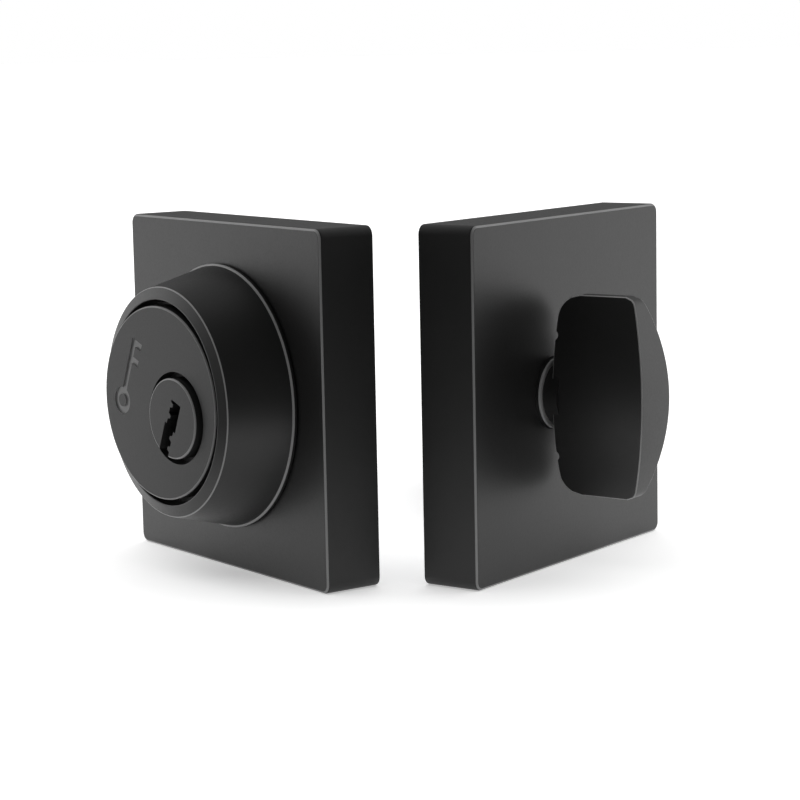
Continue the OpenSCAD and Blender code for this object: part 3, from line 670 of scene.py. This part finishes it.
# the hub stands one backset behind the faceplate, a little below its middle
latch_at = cam_at - latch_turn @ (Vector((0, -BACKSET, HUB_Z)) * MM)
LATCH = Matrix.Translation(latch_at) @ latch_turn
strike_low, strike_high = (Vector(corner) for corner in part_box("strike_plate"))
# the strike lies flat along the middle line between the two halves
middle_turn = Matrix.Rotation(math.atan2(-inner_axis.x, inner_axis.y) / 2, 4, "Z")
STRIKE = Matrix.Translation((strike_low + strike_high) / 2) @ middle_turn @ quarter(90, "X")


def soft_plate(width, height, low, high, corner):
    """A plate with rounded corners, its edge at the high side eased and in the second finish, a
    painted edge highlight.
    """
    bm = block((-width / 2, low, -height / 2), (width / 2, high, height / 2))
    corners = [e for e in bm.edges if abs(e.verts[0].co.y - e.verts[1].co.y) > 0.1 * MM]
    bevel(bm, corners, corner, 6)
    rim = [e for e in bm.edges if all(abs(v.co.y - high * MM) < 1e-6 for v in e.verts)]
    # The eased edge gets the second finish: a painted edge highlight.
    for face in bevel(bm, rim, PLATE_EDGE, 3):
        face.material_index = 1
    return bm


def bolt_bar(low, high, grow=0.0):
    """The bolt's section, a round bar with flat sides, grown by a gap where it is a hole."""
    half = BOLT_W / 2 + grow
    tall = BOLT_H / 2 + 2 + grow
    flats = block((-half, low - 1, -tall), (half, high + 1, tall))
    return combine(bar(BOLT_R + grow, low, high, steps=96), [flats], "INTERSECT")


def sunk_holes(top, apart):
    """Two countersunk screw holes through a plate whose front lies at top."""
    holes = []
    for z in (-apart, apart):
        holes.append(bar(SCREW_HOLE_R, top - 5, top + 1, (0, z), 32))
        place = moved(0, top - SUNK / 2, z) @ quarter(-90, "X")
        holes.append(rod(SCREW_HOLE_R, SUNK + 0.001, place, end=SCREW_HEAD_R))
    return holes


def build_faceplate():
    bm = soft_plate(PLATE_W, PLATE_H, -PLATE_T, 0, PLATE_CORNER)
    bm = cut(bm, [bolt_bar(-PLATE_T - 1, 1, BOLT_GAP)] + sunk_holes(0, PLATE_SCREW_Z))
    obj = shape("latch_front", bm, LATCH, "base", "black_coat", "latch_faceplate")
    paint(obj, SATIN_BLACK, PAINTED_EDGE_HIGHLIGHT)


def build_bolt():
    """The bolt, with the slot and pin hole for its tail and the bore of its hardened roller."""
    bm = bolt_bar(-BOLT_END, -BOLT_GAP)
    tip = [e for e in bm.edges if all(abs(v.co.y + BOLT_GAP * MM) < 1e-6 for v in e.verts)]
    bevel(bm, tip, BOLT_TIP, 4)
    slot = block((-TAIL_T / 2, -BOLT_END - 1, TAIL_LOW),
                 (TAIL_T / 2, -BOLT_END + TAIL_L, TAIL_HIGH))
    roller = rod(ROLLER_R, 2 * BOLT_R, moved(0, -ROLLER_IN, ROLLER_TOP - BOLT_R))
    pin_at = moved(0, -BOLT_END + TAIL_PIN_IN, TAIL_PIN_Z) @ quarter(90, "Y")
    bm = cut(bm, [slot, roller, rod(TAIL_PIN_R, 2 * BOLT_W, pin_at)])
    obj = shape("throw_bolt", bm, LATCH, "bolt", "plated_steel", "bolt")
    paint(obj, BRIGHT)


def build_strike():
    half = STRIKE_T / 2
    bm = soft_plate(STRIKE_W, STRIKE_L, -half, half, PLATE_CORNER)
    pocket = soft_plate(BOLT_W + 3, BOLT_H + 6, -half - 1, half + 1, 2)
    bm = cut(bm, [pocket] + sunk_holes(half, STRIKE_SCREW_Z))
    obj = shape("strike_face", bm, STRIKE, "base", "black_coat", "strike_plate")
    paint(obj, SATIN_BLACK, PAINTED_EDGE_HIGHLIGHT)


build_outer_rosette()
build_collar()
build_faceplate()
build_bolt()
build_strike()
build_cylinder()
build_plug()
build_inner_rosette()
build_bushing()
build_thumbturn()

# ---------- CAD nodes that stay ----------

FINISH = {
    "black_coat": SATIN_BLACK,
    "plated_steel": STEEL,
    "hard_steel": HARD,
    "brass": BRASS,
    "nylon": WASHER,
    "dark_plastic": PLASTIC,
}
OWN_FINISH = {"bolt": BRIGHT, "torque_blade": BRIGHT}

slots = {s["node"]: s["material_slot"] for s in frame["record"]["subparts"]}
for node, obj in frame["nodes"].items():
    paint(obj, OWN_FINISH.get(node, FINISH[slots[node]]))

# ---------- floor, light and camera ----------


CAMERA_SEES_FLOOR = 0.95
# The floor's glow lights the lock from below; to the camera it is painted light that fills the lock's
# shadow on the floor.
CAMERA_SEES_SHADOW_FILL = 0.8
FLOOR_GLOW = 0.5
FLOOR_SHARE = (0.06, 0.92)
NEAR_SPAN = (0.07, 0.15)
NEAR_LEVELS = (0.75, 0.0)
BEHIND_SPAN = (-0.12, 0.28)


def behind_share(nodes, links, vector, levels):
    """How far a direction points away from the camera, bare and faded between two levels."""
    facing = nodes.new("ShaderNodeVectorMath")
    facing.operation = "DOT_PRODUCT"
    facing.inputs[1].default_value = (-CAMERA_FLAT.x, -CAMERA_FLAT.y, 0)
    links.new(vector, facing.inputs[0])
    bare = facing.outputs["Value"]
    return bare, ramp(nodes, links, bare, BEHIND_SPAN, levels)


def two_numbers(nodes, links, operation, first, second):
    maths = nodes.new("ShaderNodeMath")
    maths.operation = operation
    links.new(first, maths.inputs[0])
    links.new(second, maths.inputs[1])
    return maths.outputs["Value"]


def camera_switch(nodes, links, value, seen):
    """The value for light and reflections, and a fixed one for what the camera sees itself."""
    path = nodes.new("ShaderNodeLightPath")
    pick = nodes.new("ShaderNodeMix")
    pick.data_type = "FLOAT"
    links.new(path.outputs["Is Camera Ray"], pick.inputs["Factor"])
    links.new(value, pick.inputs["A"])
    pick.inputs["B"].default_value = seen
    return pick.outputs["Result"]


def grey_tone(nodes, links, value):
    tone = nodes.new("ShaderNodeCombineColor")
    for label in ("Red", "Green", "Blue"):
        links.new(value, tone.inputs[label])
    return tone.outputs["Color"]


def floor_material():
    """Nearly white to the camera; to light and reflections pale behind the lock, dark before it. It
    also glows: the glow lights the lock from below, and to the camera it is painted light that fills
    the lock's shadow on the floor.
    """
    mat = bpy.data.materials.new("pale_floor")
    mat.use_nodes = True
    nodes, links = mat.node_tree.nodes, mat.node_tree.links
    shader = nodes["Principled BSDF"]
    shader.inputs["Roughness"].default_value = 0.8
    shader.inputs["Specular IOR Level"].default_value = 0.1
    coords = nodes.new("ShaderNodeTexCoord")
    apart = nodes.new("ShaderNodeVectorMath")
    apart.operation = "SUBTRACT"
    apart.inputs[1].default_value = (middle.x, middle.y, FLOOR_Z)
    links.new(coords.outputs["Object"], apart.inputs[0])
    unit = nodes.new("ShaderNodeVectorMath")
    unit.operation = "NORMALIZE"
    links.new(apart.outputs["Vector"], unit.inputs[0])
    length = nodes.new("ShaderNodeVectorMath")
    length.operation = "LENGTH"
    links.new(apart.outputs["Vector"], length.inputs[0])
    share = behind_share(nodes, links, unit.outputs["Vector"], FLOOR_SHARE)[1]
    near = ramp(nodes, links, length.outputs["Value"], NEAR_SPAN, NEAR_LEVELS, smooth=False)
    level = two_numbers(nodes, links, "MAXIMUM", share, near)
    # Emission Color carries the painted glow: it lights the lock, and to the camera it fills the
    # lock's shadow on the floor.
    for seen, label in ((CAMERA_SEES_FLOOR, "Base Color"), (CAMERA_SEES_SHADOW_FILL, "Emission Color")):
        shown = camera_switch(nodes, links, level, seen)
        links.new(grey_tone(nodes, links, shown), shader.inputs[label])
    shader.inputs["Emission Strength"].default_value = FLOOR_GLOW
    return mat


def build_floor():
    bm = bmesh.new()
    bmesh.ops.create_grid(bm, x_segments=1, y_segments=1, size=30)
    bmesh.ops.translate(bm, vec=(0, 0, FLOOR_Z), verts=bm.verts)
    mesh = bpy.data.meshes.new("floor")
    bm.to_mesh(mesh)
    bm.free()
    floor = bpy.data.objects.new("floor", mesh)
    bpy.context.collection.objects.link(floor)
    mesh.materials.append(floor_material())


outer_face = Vector((0, FRONT_Y, 0))
inner_face = inner_at + inner_turn @ outer_face
middle = (outer_face + inner_face) / 2
across = (inner_face - outer_face).normalized()
CAMERA_AZ = math.radians(53.83)
CAMERA_EL = math.radians(8.29)
CAMERA_ROLL = math.radians(-1.14)
CAMERA_FAR = 0.4542
CAMERA_LENS = 108.0
AIM_ACROSS = 0.3
AIM_UP = -1.55
CAMERA_FLAT = Vector((math.sin(CAMERA_AZ), -math.cos(CAMERA_AZ), 0))


def build_camera():
    aim = middle + across * AIM_ACROSS * MM + Vector((0, 0, AIM_UP * MM))
    away = Vector((math.sin(CAMERA_AZ) * math.cos(CAMERA_EL),
                   -math.cos(CAMERA_AZ) * math.cos(CAMERA_EL), math.sin(CAMERA_EL)))
    data = bpy.data.cameras.new("camera")
    data.lens = CAMERA_LENS
    data.sensor_width = 36
    data.clip_start = 0.01
    data.clip_end = 100
    camera = bpy.data.objects.new("camera", data)
    bpy.context.collection.objects.link(camera)
    turn = (-away).to_track_quat("-Z", "Y").to_matrix().to_4x4()
    roll = Matrix.Rotation(CAMERA_ROLL, 4, "Z")
    camera.matrix_world = Matrix.Translation(aim + away * CAMERA_FAR) @ turn @ roll
    bpy.context.scene.camera = camera


SUN_STRENGTH = 2.6
SUN_SPREAD = 100
WORLD_SHARE = (0.08, 1.62)
FAR_SPAN, FAR_LEVELS = (0.5, 0.95), (1.0, 0.15)
HIGH_SPAN, HIGH_LEVELS = (0.3, 0.8), (1.0, 0.2)


def build_sun():
    """One wide, soft sun, which sharp reflections do not show."""
    sky = bpy.data.lights.new("sky", "SUN")
    sky.energy = SUN_STRENGTH
    sky.angle = math.radians(SUN_SPREAD)
    sky_obj = bpy.data.objects.new("sky", sky)
    sky_way = Vector((0, 0, 0.9)) - CAMERA_FLAT * 0.25
    sky_obj.matrix_world = sky_way.to_track_quat("Z", "Y").to_matrix().to_4x4()
    sky_obj.visible_glossy = False
    bpy.context.collection.objects.link(sky_obj)


def build_world():
    """Bright behind the lock, dimmer straight behind it, high up and in front; white when seen."""
    world = bpy.data.worlds.new("studio")
    bpy.context.scene.world = world
    world.use_nodes = True
    nodes, links = world.node_tree.nodes, world.node_tree.links
    back = nodes["Background"]
    coords = nodes.new("ShaderNodeTexCoord")
    parts = nodes.new("ShaderNodeSeparateXYZ")
    links.new(coords.outputs["Generated"], parts.inputs["Vector"])
    facing, share = behind_share(nodes, links, coords.outputs["Generated"], WORLD_SHARE)
    far = ramp(nodes, links, facing, FAR_SPAN, FAR_LEVELS)
    high = ramp(nodes, links, parts.outputs["Z"], HIGH_SPAN, HIGH_LEVELS)
    dim = two_numbers(nodes, links, "MULTIPLY", far, high)
    level = two_numbers(nodes, links, "MULTIPLY", dim, share)
    back.inputs["Color"].default_value = (1, 1, 1, 1)
    links.new(camera_switch(nodes, links, level, 1.0), back.inputs["Strength"])


build_floor()
build_camera()
build_sun()
build_world()
bpy.context.scene.view_settings.view_transform = "Standard"
